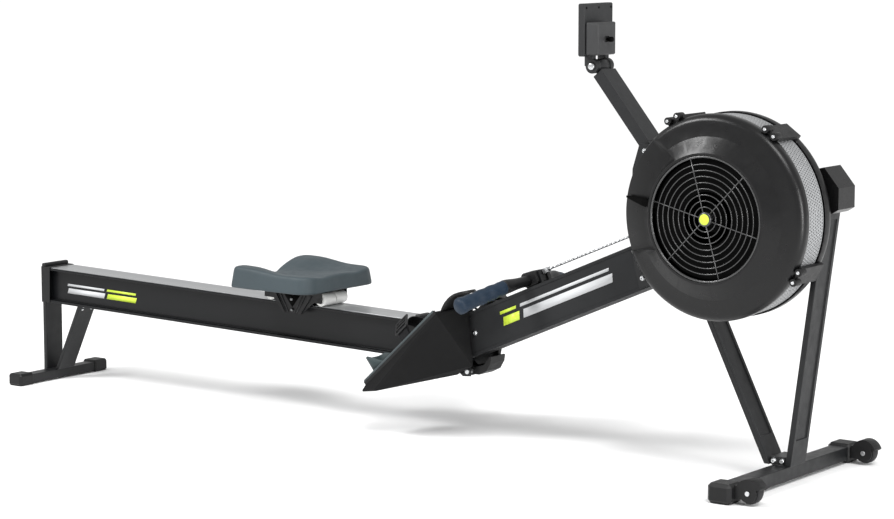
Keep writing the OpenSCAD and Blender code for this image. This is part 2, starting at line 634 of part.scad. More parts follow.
module arm_pins() color("#d2d4d6") {
  translate([arm_base[0], 0, arm_base[1]]) bar_y(5, 2 * plate_out + 1);
  translate([tilt_c[0], 0, tilt_c[1]]) bar_y(5, 2 * (ear_y + ear_w) + 1);
  both_sides() bolt_y(tilt_c[0], tilt_c[1], -ear_y - ear_w - 0.4);
  both_sides() bolt_y(arm_base[0], arm_base[1], -plate_out - 0.5);
}
screen_x = 551;      // the monitor's front face
screen_w = 98;
screen_h = 67;
screen_low = 42.5;   // its lower edge above the case's
case_t = 18;
case_z = 943;
ear_y = 20;
ear_w = 15;
module monitor_case() color("#38393b") difference() {
  union() {
    translate([screen_x + case_t / 2, 0, case_z + monitor_h / 2])
      chamfer_box([case_t, monitor_w, monitor_h], 3);
    both_sides() difference() {
      union() {
        translate([tilt_c[0], -ear_y - ear_w / 2, tilt_c[1]]) bar_y(knuckle_r, ear_w);
        translate([screen_x + 2, -ear_y - ear_w, tilt_c[1]]) cube([22, ear_w, 26]);
      }
      translate([tilt_c[0], 0, tilt_c[1]]) bar_y(5 + run, 100);
    }
  }
  translate([screen_x - 1, -screen_w / 2 - 0.5, case_z + screen_low - 0.5])
    cube([3, screen_w + 1, screen_h + 1]);
}
module monitor_screen() color("#8a9488") translate([screen_x + 0.4, -screen_w / 2, case_z + screen_low])
  cube([1.5, screen_w, screen_h]);
box_y = -18.5;       // the battery box sits off centre, to the rower's right
module battery_box() color("#4b4c4e") difference() {
  translate([screen_x + case_t + gap + 17.5, box_y, case_z + 41.5]) chamfer_box([35, 77, 76], 3);
  translate([screen_x + case_t + 30, box_y - 9, case_z + 34]) cube([6, 18, 13]);
}

// ---- seat, in the rail's frame with x = 0 at its middle ----
module on_seat() on_rail() translate([seat_s, 0, 0]) children();
plate_h = seat_under - 4;
carriage_half = 52;
module seat_pad() color("#58646b") on_seat() translate([0, 0, seat_under + eps]) {
  hull() both_sides() {
    translate([-seat_len / 2 + 26, -seat_w / 2 + 28, 0]) cylinder(r = 28, h = 24, $fn = 32);
    translate([seat_len / 2 - 50, -seat_w / 2 + 46, 0]) cylinder(r = 46, h = 22, $fn = 32);
  }
  both_sides() hull() {
    translate([-seat_len / 2 + 26, -seat_w / 2 + 28, 20]) cylinder(r1 = 28, r2 = 22, h = 34, $fn = 32);
    translate([-seat_len / 2 + 60, -seat_w / 2 + 70, 20]) cylinder(r1 = 40, r2 = 26, h = 24, $fn = 32);
    translate([0, -seat_w / 2 + 42, 20]) cylinder(r1 = 42, r2 = 30, h = 26, $fn = 32);
    translate([seat_len / 2 - 52, -seat_w / 2 + 52, 16]) cylinder(r1 = 44, r2 = 36, h = 22, $fn = 32);
  }
}
module seat_carriage() color("#1c1c1e") on_seat() difference() {
  union() {
    translate([-roller_gap / 2 - 14, -carriage_half, plate_h]) cube([roller_gap + 22, 2 * carriage_half, 4]);
    both_sides() translate([0, -carriage_half + 3, 0]) rotate([90, 0, 0]) linear_extrude(height = 3)
      polygon([[-roller_gap / 2 - 14, plate_h], [-roller_gap / 2 - 14, 8], [-66, 8], [-34, -25], [26, -25],
        [66, 8], [roller_gap / 2 + 8, 8], [roller_gap / 2 + 8, plate_h]]);
    both_sides() for (a = [-1, 1]) translate([-4, -carriage_half, 0]) rotate([90, 0, 0])
      linear_extrude(height = 3)
      polygon([[a * 64, 24], [a * 54, 24], [a * 21, -25], [a * 30, -25]]);
  }
  for (x = [-1, 1]) translate([x * roller_gap / 2, 0, roller_r + gap]) bar_y(4, 120);
  translate([-4, 0, lower_z]) bar_y(4, 120);
}
lower_r = 8;
lower_z = -track_t - flange_t - gap - lower_r;
module roller_axles() color("#cfd1d3") on_seat() {
  for (x = [-1, 1]) translate([x * roller_gap / 2, 0, roller_r + gap]) bar_y(4 - eps, 2 * carriage_half);
  both_sides() translate([-4, -carriage_half + 7, lower_z]) bar_y(4 - eps, 22);
}
module roller_pair() both_sides() translate([0, -23.5, 0]) rotate([90, 0, 0]) translate([0, 0, -22])
  tube(roller_r, 4 - eps + run, 44);
roller_z = roller_r + gap;
module rollers_front() color("#e4e4e0") on_seat() translate([roller_gap / 2, 0, roller_z]) roller_pair();
module rollers_rear() color("#e4e4e0") on_seat() translate([-roller_gap / 2, 0, roller_z]) roller_pair();
module rollers_lower() color("#e4e4e0") on_seat() both_sides() translate([-4, -39, lower_z])
  rotate([90, 0, 0]) translate([0, 0, -6]) tube(lower_r, 4 - eps + run, 12);

// ---- side plates join the beam, the axle, the arm and the leg's box ----
plate_core = [[716, 412], [700, 470], [688, 528], [694, 690], [712, 748], [745, 748], [751, 722], [722, 640],
  [722, 566], [900, 640], [985, 650], [1016, 625], [1016, 585], [905, 380], [868, 392], [820, 470],
  [770, 432]];
box_arm = [[940, 640], [1160, 712], [1206, 676], [1206, 640], [1010, 570]];
module plate_shape(far) difference() {
  union() {
    polygon(plate_core);
    if (far) polygon(box_arm);
  }
  translate(fan_c) circle(r = bearing_r);
  translate(arm_base) circle(r = 5 + run);
}
module upright(y) translate([0, y, 0]) rotate([90, 0, 0])
  linear_extrude(height = plate_out - plate_in) children();
module side_plates() color("#252527") {
  upright(-plate_in) plate_shape(false);
  upright(plate_out) plate_shape(true);
}
rail_beam();
rail_track();
rail_end_cap();
rail_front_stop();
rear_post();
rear_brace();
rear_foot_beam();
rear_foot_caps();
main_beam();
frame_coupler();
frame_bolts();
frame_lock();
front_strut();
rear_strut();
front_foot_beam();
front_foot_caps();
wheel_shrouds();
wheel_axles();
wheel_right();
wheel_left();
leg_top_box();
side_plates();
near_cover();
far_cover();
mesh_band();
cover_clamps();
clamp_bolts();
grille();
damper_ring();
axle_bearings();
flywheel();
flywheel_axle();
sprocket();
chain_inner();
chain_guide();
chain_roller();
chain_span();
shock_cord();
cord_pulley();
handle_hook();
handle_bar();
handle_grips();
chain_clevis();
foot_shells();
footboards();
heel_cup_right();
heel_cup_left();
foot_straps();
strap_buckles();
monitor_arm();
arm_pins();
monitor_case();
monitor_screen();
battery_box();
seat_pad();
seat_carriage();
roller_axles();
rollers_front();
rollers_rear();
rollers_lower();
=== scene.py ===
"""A rowing machine's looks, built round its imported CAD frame: metres, +X to the fan, +Z up."""
import json
import math

import bmesh
import bpy
from mathutils import Matrix, Vector


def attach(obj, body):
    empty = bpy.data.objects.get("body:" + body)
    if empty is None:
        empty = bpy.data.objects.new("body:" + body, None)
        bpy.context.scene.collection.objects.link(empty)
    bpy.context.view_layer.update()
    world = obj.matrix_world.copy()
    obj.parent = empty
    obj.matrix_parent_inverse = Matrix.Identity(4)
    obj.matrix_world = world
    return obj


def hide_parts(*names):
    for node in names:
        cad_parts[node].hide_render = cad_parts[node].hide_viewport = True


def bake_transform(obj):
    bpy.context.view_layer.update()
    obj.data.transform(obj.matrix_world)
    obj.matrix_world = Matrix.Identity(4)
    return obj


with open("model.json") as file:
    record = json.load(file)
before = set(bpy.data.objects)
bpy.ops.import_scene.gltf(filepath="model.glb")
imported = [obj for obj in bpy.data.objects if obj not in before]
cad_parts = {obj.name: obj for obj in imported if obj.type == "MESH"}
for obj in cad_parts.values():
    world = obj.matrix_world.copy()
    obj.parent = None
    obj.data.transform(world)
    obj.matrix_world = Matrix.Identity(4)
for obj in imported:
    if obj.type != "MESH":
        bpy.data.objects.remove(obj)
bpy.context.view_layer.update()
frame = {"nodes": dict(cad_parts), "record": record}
NODES = frame["nodes"]
RECORD = frame["record"]


# ---- camera, light and floor ----

CAMERA_PLACE = (3.95383, -5.21975, 1.28012)
CAMERA_DIP, CAMERA_TURN = 7.48, 36.211      # degrees below level, and from the +Y axis
CAMERA_LENS, CAMERA_SENSOR = 107.34, 36.0   # millimetres
SUN_POWER, SUN_SPREAD = 1.75, 24
SUN_TRAVEL = (-0.347, 0.284, -0.6)
FAN_AIM = (0.94, 0, 0.6)                    # where the two soft boxes point
SKY_LIGHT, SKY_SEEN = 0.7, 1.0              # the white world's strength as light, and to the camera
FLOOR_HALF = 40


def make_camera():
    """A long lens, from the fan's end and the rower's right, a little higher than the monitor."""
    data = bpy.data.cameras.new("camera")
    data.lens = CAMERA_LENS
    data.sensor_width = CAMERA_SENSOR
    data.clip_start, data.clip_end = 0.1, 100.0
    camera = bpy.data.objects.new("camera", data)
    bpy.context.collection.objects.link(camera)
    camera.location = CAMERA_PLACE
    camera.rotation_euler = (math.radians(90 - CAMERA_DIP), 0, math.radians(CAMERA_TURN))
    bpy.context.scene.camera = camera


def soft_box(name, place, target, size, power):
    data = bpy.data.lights.new(name, "AREA")
    data.shape, data.size, data.size_y = "RECTANGLE", size[0], size[1]
    data.energy = power
    lamp = bpy.data.objects.new(name, data)
    bpy.context.collection.objects.link(lamp)
    lamp.location = place
    lamp.rotation_euler = (Vector(target) - Vector(place)).to_track_quat("-Z", "Y").to_euler()
    lamp.visible_camera = False


def make_world():
    """White all round: full white to the camera, a little weaker as light."""
    world = bpy.data.worlds.new("studio")
    bpy.context.scene.world = world
    world.use_nodes = True
    nodes, links = world.node_tree.nodes, world.node_tree.links
    back = nodes["Background"]
    back.inputs["Color"].default_value = (1, 1, 1, 1)
    path = nodes.new("ShaderNodeLightPath")
    strength = nodes.new("ShaderNodeMapRange")
    strength.inputs["To Min"].default_value = SKY_LIGHT
    strength.inputs["To Max"].default_value = SKY_SEEN
    links.new(path.outputs["Is Camera Ray"], strength.inputs["Value"])
    links.new(strength.outputs["Result"], back.inputs["Strength"])


def make_stage():
    """A white studio: even light from all round, a soft sun, two soft boxes and a pale floor."""
    bpy.context.scene.view_settings.view_transform = "Standard"
    make_world()
    sun = bpy.data.lights.new("soft_light", "SUN")
    sun.energy, sun.angle = SUN_POWER, math.radians(SUN_SPREAD)
    lamp = bpy.data.objects.new("soft_light", sun)
    bpy.context.collection.objects.link(lamp)
    lamp.rotation_euler = Vector(SUN_TRAVEL).to_track_quat("-Z", "Y").to_euler()
    soft_box("side_box", (4.6, -0.9, 0.95), FAN_AIM, (0.5, 2.0), 85)
    soft_box("high_box", (-1.5, -2.3, 3.0), FAN_AIM, (1.1, 1.1), 105)
    corners = [(x * FLOOR_HALF, y * FLOOR_HALF, 0) for x, y in ((-1, -1), (1, -1), (1, 1), (-1, 1))]
    floor = mesh_object("floor", corners, [(0, 1, 2, 3)])
    pale = surface("studio_floor", (0.93, 0.93, 0.93), rough=0.9, grain=30, bump=0.0, tint=0.004)
    floor.data.materials.append(pale)


# ---- meshes ----

def mesh_object(name, points, faces, material=None):
    """A smooth-shaded mesh, linked to the scene."""
    mesh = bpy.data.meshes.new(name)
    mesh.from_pydata([tuple(p) for p in points], [], faces)
    mesh.update()
    item = bpy.data.objects.new(name, mesh)
    bpy.context.collection.objects.link(item)
    if material is not None:
        mesh.materials.append(material)
    mesh.polygons.foreach_set("use_smooth", [True] * len(mesh.polygons))
    return item


# ---- materials ----

COAT_ROUGHNESS = 0.15
GRAIN_HEIGHT = 0.0006
SMOOTHEST = 0.03


def surface(name, colour, rough=0.5, metal=0.0, grain=900.0, bump=0.1, tint=0.12, wear=0.12,
            stretch=(1, 1, 1), coat=0.0, blotch=7.0, specular=0.5):
    """A procedural finish: broad colour variation, patchy roughness and a fine raised grain."""
    mat = bpy.data.materials.new(name)
    mat.use_nodes = True
    nodes, links = mat.node_tree.nodes, mat.node_tree.links
    shader = nodes["Principled BSDF"]
    shader.inputs["Metallic"].default_value = metal
    shader.inputs["Coat Weight"].default_value = coat
    shader.inputs["Coat Roughness"].default_value = COAT_ROUGHNESS
    shader.inputs["Specular IOR Level"].default_value = specular
    place = nodes.new("ShaderNodeTexCoord")
    mapping = nodes.new("ShaderNodeMapping")
    mapping.inputs["Scale"].default_value = stretch
    links.new(place.outputs["Object"], mapping.inputs["Vector"])

    def noise_node(scale, detail):
        node = nodes.new("ShaderNodeTexNoise")
        node.inputs["Scale"].default_value = scale
        node.inputs["Detail"].default_value = detail
        links.new(mapping.outputs["Vector"], node.inputs["Vector"])
        return node

    broad, patches, fine = noise_node(blotch, 4), noise_node(blotch * 7, 6), noise_node(grain, 2)
    ramp = nodes.new("ShaderNodeValToRGB")
    ends = ramp.color_ramp.elements
    ends[0].position, ends[1].position = 0.3, 0.72
    ends[0].color = [c * (1 - tint) for c in colour] + [1]
    ends[1].color = [min(1, c * (1 + tint)) for c in colour] + [1]
    links.new(broad.outputs["Fac"], ramp.inputs["Fac"])
    links.new(ramp.outputs["Color"], shader.inputs["Base Color"])
    span = nodes.new("ShaderNodeMapRange")
    span.inputs["From Min"].default_value = 0.3
    span.inputs["From Max"].default_value = 0.7
    span.inputs["To Min"].default_value = max(SMOOTHEST, rough * (1 - wear))
    span.inputs["To Max"].default_value = min(1, rough * (1 + wear))
    links.new(patches.outputs["Fac"], span.inputs["Value"])
    links.new(span.outputs["Result"], shader.inputs["Roughness"])
    if bump:
        raised = nodes.new("ShaderNodeBump")
        raised.inputs["Strength"].default_value = bump
        raised.inputs["Distance"].default_value = GRAIN_HEIGHT
        links.new(fine.outputs["Fac"], raised.inputs["Height"])
        links.new(raised.outputs["Normal"], shader.inputs["Normal"])
    return mat


FINISHES = {
    "frame_dark": dict(colour=(0.0085, 0.009, 0.0098), rough=0.4, grain=700, bump=0.25, wear=0.18,
                       specular=0.3),
    "beam_dark": dict(colour=(0.024, 0.0246, 0.0256), rough=0.6, grain=700, bump=0.25, wear=0.18,
                      specular=0.06),
    "arm_dark": dict(colour=(0.012, 0.0125, 0.0135), rough=0.4, grain=700, bump=0.25, specular=0.3),
    "rail_dark": dict(colour=(0.005, 0.0053, 0.006), rough=0.36, grain=500, bump=0.08,
                      stretch=(0.06, 1, 1), specular=0.22),
    "track_steel": dict(colour=(0.5, 0.51, 0.52), rough=0.3, metal=1, grain=900, bump=0.08,
                        stretch=(0.03, 1, 1)),
    "black_plastic": dict(colour=(0.0055, 0.0055, 0.0058), rough=0.45, grain=1400, bump=0.3,
                          specular=0.3),
    "stop_rubber": dict(colour=(0.015, 0.015, 0.016), rough=0.7, grain=1500, bump=0.3),
    "cover_plastic": dict(colour=(0.004, 0.004, 0.0043), rough=0.3, grain=1300, bump=0.18,
                          specular=0.3),
    "grille_wire": dict(colour=(0.024, 0.024, 0.0245), rough=0.26, grain=900, bump=0.05, specular=0.8),
    "lime": dict(colour=(0.56, 0.72, 0.05), rough=0.4, grain=900, bump=0.05, tint=0.04),
    "print_silver": dict(colour=(0.55, 0.56, 0.57), rough=0.4, grain=900, bump=0.05, tint=0.03),
    "deep_black": dict(colour=(0.0015, 0.0015, 0.0015), rough=0.7, grain=900, bump=0.1, specular=0.04),
    "shell_dark": dict(colour=(0.0055, 0.0055, 0.0058), rough=0.5, grain=1400, bump=0.3, specular=0.12),
    "box_plastic": dict(colour=(0.03, 0.0305, 0.0315), rough=0.5, grain=1300, bump=0.25, specular=0.35),
    # the footboards' lip: its own grey with a painted highlight worked into the colour
    "lip_grey_and_highlight": dict(colour=(0.045, 0.058, 0.062), rough=0.5, grain=1300, bump=0.2, specular=0.4),
    "ink": dict(colour=(0.02, 0.025, 0.02), rough=0.4, grain=900, bump=0.05),
    "key_grey": dict(colour=(0.2, 0.205, 0.21), rough=0.5, grain=900, bump=0.1),
    "band_mesh": dict(colour=(0.27, 0.275, 0.28), rough=0.45, metal=0.2, grain=1100, bump=0.1),
    "flywheel_metal": dict(colour=(0.035, 0.035, 0.037), rough=0.45, metal=0.3, grain=500, bump=0.1),
    "bright_steel": dict(colour=(0.6, 0.61, 0.62), rough=0.28, metal=1, grain=1200, bump=0.08),
    "guide_white": dict(colour=(0.72, 0.72, 0.7), rough=0.38, grain=900, bump=0.05, tint=0.04),
    "cord_fabric": dict(colour=(0.03, 0.034, 0.038), rough=0.85, grain=1500, bump=0.5),
    "grip_rubber": dict(colour=(0.006, 0.017, 0.034), rough=0.5, grain=1500, bump=0.35, specular=0.3),
    "handle_plastic": dict(colour=(0.004, 0.004, 0.0045), rough=0.38, grain=1300, bump=0.2,
                           specular=0.35),
    "wheel_rubber": dict(colour=(0.014, 0.014, 0.015), rough=0.6, grain=900, bump=0.3, specular=0.3),
    "cup_plastic": dict(colour=(0.03, 0.044, 0.046), rough=0.55, grain=1300, bump=0.3, specular=0.3),
    "strap_web": dict(colour=(0.008, 0.008, 0.009), rough=0.85, grain=2200, bump=0.5, specular=0.2),
    "buckle_plastic": dict(colour=(0.009, 0.009, 0.0095), rough=0.3, grain=1300, bump=0.1,
                           specular=0.4),
    "case_plastic": dict(colour=(0.016, 0.0165, 0.0175), rough=0.5, grain=1300, bump=0.25,
                         specular=0.3),
    "screen_glass": dict(colour=(0.3, 0.33, 0.3), rough=0.12, grain=600, bump=0.0, tint=0.03, coat=0.6),
    "seat_foam": dict(colour=(0.037, 0.051, 0.058), rough=0.55, grain=1100, bump=0.4, tint=0.06,
                      specular=0.35),
    "carriage_metal": dict(colour=(0.005, 0.005, 0.0055), rough=0.45, grain=900, bump=0.15,
                           specular=0.3),
}
MATERIAL = {name: surface(name, **finish) for name, finish in FINISHES.items()}


# ---- places, as the CAD has them, in metres ----

FAN = Vector((0.984, -0.074, 0.607))
BOARD_ANGLE = math.radians(42.5)
BOARD_LENGTH = 0.29
BEAM_SLOPE = math.radians(23.07)
RAIL_SLOPE = math.radians(1.43)
CHAIN_SLOPE = math.radians(22.7)
CHAIN_PIN = Vector((0.428, 0, 0.429))


def frame_matrix(origin, x_axis, y_axis, z_axis):
    matrix = Matrix.Identity(4)
    for column, axis in enumerate((x_axis, y_axis, z_axis)):
        for row in range(3):
            matrix[row][column] = axis[row]
    matrix.translation = Vector(origin)
    return matrix


def tilted(origin, slope):
    """Local x runs up a slope in the XZ plane, local z stands out of it."""
    c, s = math.cos(slope), math.sin(slope)
    return frame_matrix(origin, (c, 0, s), (0, 1, 0), (-s, 0, c))


def facing_right(origin):
    """On a plane that faces the rower's right: local x forwards, local y up, local z out of it."""
    return frame_matrix(origin, (1, 0, 0), (0, 0, 1), (0, -1, 0))


ON_FAN = facing_right(FAN)
ON_BOARD = tilted((-0.004, 0, 0.127), BOARD_ANGLE)
ON_BEAM = tilted((0.497, 0, 0.3715), BEAM_SLOPE)
ON_RAIL = tilted((-1.205, 0, 0.312), -RAIL_SLOPE)
ON_SEAT = ON_RAIL @ Matrix.Translation((0.893, 0, 0))
SEAT_TILT = Matrix.Translation((-0.0055, 0, -0.0005)) @ Matrix.Rotation(math.radians(-0.6), 4, "Y")
ON_CHAIN = tilted(CHAIN_PIN, CHAIN_SLOPE)
MIRROR = Matrix.Diagonal((1, -1, 1, 1))
IDENTITY = Matrix.Identity(4)
NIL = 0.0002                    # the radius at which a turned end closes


# ---- shapes ----

def circle(radius, height, count):
    """Points round local z, at one height."""
    turns = [2 * math.pi * i / count for i in range(count)]
    return [(radius * math.cos(a), radius * math.sin(a), height) for a in turns]


def disc(radius, count):
    """The same in two dimensions."""
    return [(x, y) for x, y, _ in circle(radius, 0, count)]


class Shape:
    """Collects points and faces in local coordinates, each part placed by a matrix."""

    def __init__(self):
        self.points, self.faces = [], []

    def add(self, points, faces, place=IDENTITY):
        start = len(self.points)
        flip = place.to_3x3().determinant() < 0
        self.points += [place @ Vector(p) for p in points]
        self.faces += [tuple(start + i for i in (reversed(f) if flip else f)) for f in faces]
        return self

    def rings(self, rings, place=IDENTITY, looped=False):
        """Skins rings of equally many points, with flat ends or joined into a loop."""
        count = len(rings[0])
        points = [p for ring in rings for p in ring]
        faces = []
        for i in range(len(rings) if looped else len(rings) - 1):
            k = (i + 1) % len(rings)
            for j in range(count):
                n = (j + 1) % count
                faces.append((i * count + j, i * count + n, k * count + n, k * count + j))
        if not looped:
            faces.append(tuple(reversed(range(count))))
            faces.append(tuple(range((len(rings) - 1) * count, len(rings) * count)))
        return self.add(points, faces, place)

    def lathe(self, profile, place=IDENTITY, segments=48):
        """Turns (radius, height) points round local z."""
        return self.rings([circle(radius, height, segments) for radius, height in profile], place)

    def tube(self, path, radius, sides=12, place=IDENTITY, looped=False):
        """A round bar along a path. Radius may be a list, one for each point."""
        path = [Vector(p) for p in path]
        count = len(path)
        radii = radius if isinstance(radius, list) else [radius] * count
        up, rings = None, []
        for i, p in enumerate(path):
            after = path[(i + 1) % count] if looped or i + 1 < count else p
            before = path[i - 1] if looped or i else p
            along = (after - before).normalized()
            if up is None:
                up = Vector((0, 0, 1)) if abs(along.z) < 0.9 else Vector((1, 0, 0))
            side = along.cross(up).normalized()
            up = side.cross(along).normalized()
            rings.append([p + (side * c - up * s) * radii[i] for c, s in disc(1, sides)])
        return self.rings(rings, place, looped)

    def slab(self, outline, low, high, place=IDENTITY):
        """A flat plate: an anticlockwise outline in local x and y, from low to high in z."""
        return self.rings([[(x, y, low) for x, y in outline], [(x, y, high) for x, y in outline]], place)

    def box(self, low, high, place=IDENTITY):
        (x0, y0, z0), (x1, y1, z1) = low, high
        return self.slab([(x0, y0), (x1, y0), (x1, y1), (x0, y1)], z0, z1, place)

    def make(self, name, material, body, stands_for=(), bevel=0.0, segments=3, subdivide=0, slot=None):
        """Turns the shape into a piece that rides on a body, with rounded edges if asked."""
        item = mesh_object(name, self.points, self.faces, MATERIAL[material])
        work = bmesh.new()
        work.from_mesh(item.data)
        bmesh.ops.recalc_face_normals(work, faces=work.faces)
        work.to_mesh(item.data)
        work.free()
        if bevel:
            round_edges(item, bevel, segments)
        if subdivide:
            modifier = item.modifiers.new("subdivide", "SUBSURF")
            modifier.levels = modifier.render_levels = subdivide
        if body:
            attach(item, body)
        if stands_for:
            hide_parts(*stands_for)
        return item


def round_edges(item, width, segments=3, angle=30):
    modifier = item.modifiers.new("round", "BEVEL")
    modifier.width, modifier.segments = width, segments
    modifier.limit_method, modifier.angle_limit = "ANGLE", math.radians(angle)
    modifier.harden_normals = True


def arc(centre, radius, start, end, count):
    """Points on an arc, angles in degrees."""
    steps = [math.radians(start + (end - start) * i / count) for i in range(count + 1)]
    return [(centre[0] + radius * math.cos(a), centre[1] + radius * math.sin(a)) for a in steps]


def smooth(low, high, value):
    """0 below low, 1 above high, and a soft step between them."""
    t = min(1, max(0, (value - low) / (high - low)))
    return t * t * (3 - 2 * t)


def bump(x, y, cx, cy, rx, ry):
    """A round hill of height 1 at (cx, cy)."""
    return math.exp(-((x - cx) / rx) ** 2 - ((y - cy) / ry) ** 2)


def both_sides(place):
    """The rower's right, then left."""
    return (place, MIRROR @ place)


# ---- CAD nodes that keep their shape ----

EDGE_WIDTHS = {
    "main_beam": 0.001, "front_strut": 0.0025, "rear_strut": 0.0025, "rear_post": 0.0025,
    "rear_brace": 0.0025, "front_foot_beam": 0.004, "rear_foot_beam": 0.004, "leg_top_box": 0.006,
    "rail_end_cap": 0.004, "monitor_arm": 0.003, "side_plates": 0.0012, "rail_beam": 0.0012,
    "near_cover": 0.0015, "cover_clamps": 0.005,
}
PLAIN_EDGE = 0.001
EDGE_ANGLES = {"near_cover": 18}
PLAIN_ANGLE = 38
OWN_FINISH = {
    "damper_ring": "deep_black", "flywheel": "deep_black", "roller_axles": "carriage_metal",
    "foot_shells": "shell_dark", "battery_box": "box_plastic", "main_beam": "beam_dark",
}
WELD_DISTANCE = 0.00002
FLAT_ANGLE = 0.3


def finish_cad_nodes():
    """Each CAD node gets its slot's finish or its own, and fine rounded edges that catch the light."""
    for part in RECORD["subparts"]:
        name = part["node"]
        node = NODES[name]
        node.data.materials.clear()
        node.data.materials.append(MATERIAL[OWN_FINISH.get(name, part["material_slot"])])
        weld = node.modifiers.new("weld", "WELD")
        weld.merge_threshold = WELD_DISTANCE
        flatten = node.modifiers.new("flatten", "DECIMATE")
        flatten.decimate_type = "DISSOLVE"
        flatten.angle_limit = math.radians(FLAT_ANGLE)
        round_edges(node, EDGE_WIDTHS.get(name, PLAIN_EDGE), 2, EDGE_ANGLES.get(name, PLAIN_ANGLE))


finish_cad_nodes()


# ---- seat ----

SEAT_BASE = 0.040               # height of the underside, over ON_SEAT's plane
SEAT_HALF = (0.1235, 0.1565)
SEAT_EDGE = 0.010               # radius of the edge round the top
SEAT_FLARE = 0.036              # how much narrower the top is than the base
SEAT_LIP = 0.003                # upright rim under the sides
OUTLINE_POINTS = 120
UNDER_STEPS = (0.04, 0.3, 0.55, 0.8, 1.0)   # rings of the underside, from the middle to the rim
SIDE_STEPS = (0.3, 0.6, 0.85)               # rings up the side, then those of the top, rim to middle
TOP_STEPS = (0.0, 0.01, 0.025, 0.045, 0.07, 0.1, 0.14, 0.2, 0.28, 0.37, 0.47, 0.57, 0.67, 0.77, 0.86,
             0.94, 0.985)


def seat_outline():
    """The seat from above: wide and square behind, rounder in front, with a notch behind."""
    length, width = SEAT_HALF
    half = [(-length + 0.010, 0.0), (-length + 0.008, 0.016), (-length + 0.002, 0.034), (-length, 0.055)]
    half += list(reversed(arc((-length + 0.017, width - 0.017), 0.017, 90, 180, 8)))
    half += [(-0.050, width), (0.0, width - 0.004)]
    half += list(reversed(arc((length - 0.046, width - 0.052), 0.046, 0, 84, 9)))
    half += [(length, 0.07), (length - 0.001, 0.035), (length - 0.002, 0.0)]
    right = [(x, -y) for x, y in reversed(half[1:-1])]
    return resample(half + right, OUTLINE_POINTS)


def resample(loop, count):
    """Evenly spaced points round a closed outline."""
    points = [Vector(p) for p in loop] + [Vector(loop[0])]
    lengths = [0.0]
    for a, b in zip(points, points[1:]):
        lengths.append(lengths[-1] + (b - a).length)
    result, j = [], 0
    for i in range(count):
        target = lengths[-1] * i / count
        while lengths[j + 1] < target:
            j += 1
        t = (target - lengths[j]) / max(lengths[j + 1] - lengths[j], 1e-9)
        result.append(tuple(points[j].lerp(points[j + 1], t)))
    return result


def seat_height(x, y):
    """Height of the top over the base: raised sides, highest behind, a hollow middle, a rear notch."""
    ahead = smooth(-0.08, 0.02, x)
    side = smooth(0.012 + 0.023 * ahead, 0.118 + 0.032 * ahead, abs(y))
    top = 0.0335 + side * (0.021 - 0.0095 * smooth(-0.08, 0.05, x))
    top += 0.008 * smooth(0.03, 0.11, x) * (1 - side)
    top -= 0.009 * bump(x, y, -0.122, 0, 0.055, 0.04)
    for lobe in (-1, 1):
        top -= 0.005 * bump(x, y, -0.03, lobe * 0.055, 0.045, 0.035)
        top -= 0.004 * bump(x, y, 0.105, lobe * 0.07, 0.05, 0.03)
    return top


def make_seat():
    """One closed crowned cushion: a flat underside, leaning sides and a shaped top."""
    outline = seat_outline()
    rings = []
    for scale in UNDER_STEPS:
        inset = 0.985 * scale
        rings.append([(x * inset, y * inset, SEAT_BASE + 0.0003) for x, y in outline])
    rings.append([(x, y, SEAT_BASE + SEAT_LIP) for x, y in outline])
    for lift in SIDE_STEPS:
        shrink = 1 - SEAT_FLARE * lift
        side = [(x * shrink, y * shrink) for x, y in outline]
        rings.append([(x, y, SEAT_BASE + SEAT_LIP + (seat_height(x, y) - SEAT_EDGE - SEAT_LIP) * lift)
                      for x, y in side])
    top = 1 - SEAT_FLARE
    for step in TOP_STEPS:
        scale = top * (1 - step)
        row = []
        for x, y in outline:
            px, py = x * scale, y * scale
            inside = min(SEAT_EDGE, math.hypot(x, y) * top * step)
            drop = SEAT_EDGE - math.sqrt(SEAT_EDGE ** 2 - (SEAT_EDGE - inside) ** 2)
            row.append((px, py, SEAT_BASE + seat_height(px, py) - drop))
        rings.append(row)
    shape = Shape().rings(rings, ON_SEAT @ SEAT_TILT)
    seat = shape.make("seat_cushion", "seat_foam", "seat", ["seat_pad"], subdivide=1)


make_seat()


# ---- chain, handle and grips ----

CHAIN_LENGTH = 0.284
FIRST_LINK = 0.007              # from the clevis pin to the first link
LINK_PITCH = 0.00635
PLATE_HALF, PLATE_WAIST, PLATE_T = 0.0029, 0.0019, 0.0008
OUTER_PLATE, INNER_PLATE = 0.0017, 0.0009
LINK_PIN_R, LINK_PIN_HALF = 0.0011, 0.0024
LINK_ROLLER_R, LINK_ROLLER_HALF = 0.0017, 0.0005


def link_outline(pitch, radius, waist, count=5):
    """A chain plate's figure-of-eight outline, from one pin to the next."""
    points = arc((pitch, 0), radius, -70, 70, count)
    points += [(pitch / 2, waist)]
    points += arc((0, 0), radius, 110, 250, count)
    points += [(pitch / 2, -waist)]
    return points


def make_chain():
    """Free chain from the handle's clevis to the fan unit."""
    shape = Shape()
    outline = link_outline(LINK_PITCH, PLATE_HALF, PLATE_WAIST)
    for i in range(int((CHAIN_LENGTH - FIRST_LINK) / LINK_PITCH)):
        outer = i % 2 == 0
        place = ON_CHAIN @ facing_right((FIRST_LINK + i * LINK_PITCH, 0, 0))
        for side in (-1, 1):
            middle = side * (OUTER_PLATE if outer else INNER_PLATE)
            shape.slab(outline, middle - PLATE_T / 2, middle + PLATE_T / 2, place)
        shape.slab(disc(LINK_PIN_R, 6), -LINK_PIN_HALF, LINK_PIN_HALF, place)
        if not outer:
            shape.slab(disc(LINK_ROLLER_R, 8), -LINK_ROLLER_HALF, LINK_ROLLER_HALF, place)
    chain = shape.make("drive_chain", "bright_steel", None, ["chain_span"])
    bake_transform(chain)


make_chain()

